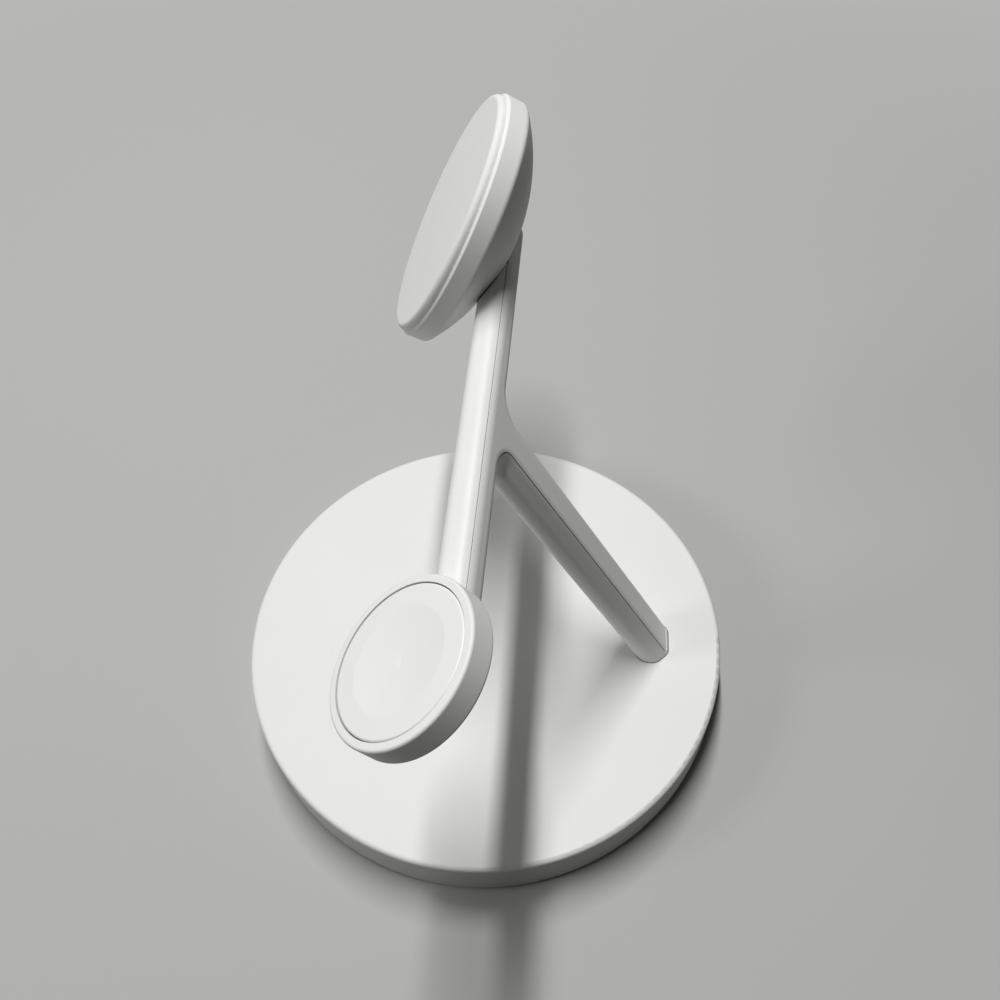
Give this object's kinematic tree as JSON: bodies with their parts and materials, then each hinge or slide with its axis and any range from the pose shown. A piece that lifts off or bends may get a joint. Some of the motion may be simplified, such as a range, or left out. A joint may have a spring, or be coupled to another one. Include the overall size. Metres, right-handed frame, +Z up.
{
  "type": "wireless charging stand",
  "caption": "White charging stand: round weighted base for an earbud case, leaning leg with a level cross-bar, round magnetic phone head on one end and dished watch head on the other.",
  "frame": {"origin": "centre of the foot pad's underside", "axes": "+Z up, -Y towards the front where the phone faces, +X towards the watch head"},
  "size_m": [0.158, 0.13, 0.137],
  "materials": {
    "white_plastic": "fine matte moulded polycarbonate",
    "soft_white": "soft-touch matte face",
    "grey_rubber": "moulded silicone pad",
    "steel": "plain zinc-plated steel",
    "copper": "enamelled copper winding",
    "ferrite": "sintered ferrite sheet",
    "circuit_board": "solder-masked glass epoxy",
    "magnet_plating": "nickel-plated magnet",
    "lead_jacket": "thin insulated lead"
  },
  "bodies": {
    "root": {"base_cover": "white_plastic", "base_bottom_plate": "white_plastic", "foot_pad": "grey_rubber", "ballast_plate": "steel", "base_circuit_board": "circuit_board", "power_inlet": "steel", "earbud_coil": "copper", "earbud_ferrite": "ferrite", "base_screws": "steel", "leg_screws": "steel", "stand_frame": "white_plastic", "stand_back_cover": "white_plastic", "phone_lead": "lead_jacket", "watch_lead": "lead_jacket", "phone_head_shell": "white_plastic", "phone_head_plate": "soft_white", "phone_magnets": "magnet_plating", "phone_yoke_ring": "steel", "phone_coil": "copper", "phone_ferrite": "ferrite", "phone_circuit_board": "circuit_board", "phone_head_screws": "steel", "watch_head_shell": "white_plastic", "watch_plate": "soft_white", "watch_magnet": "magnet_plating", "watch_coil": "copper", "watch_ferrite": "ferrite", "watch_head_screws": "steel"}
  },
  "joints": []
}
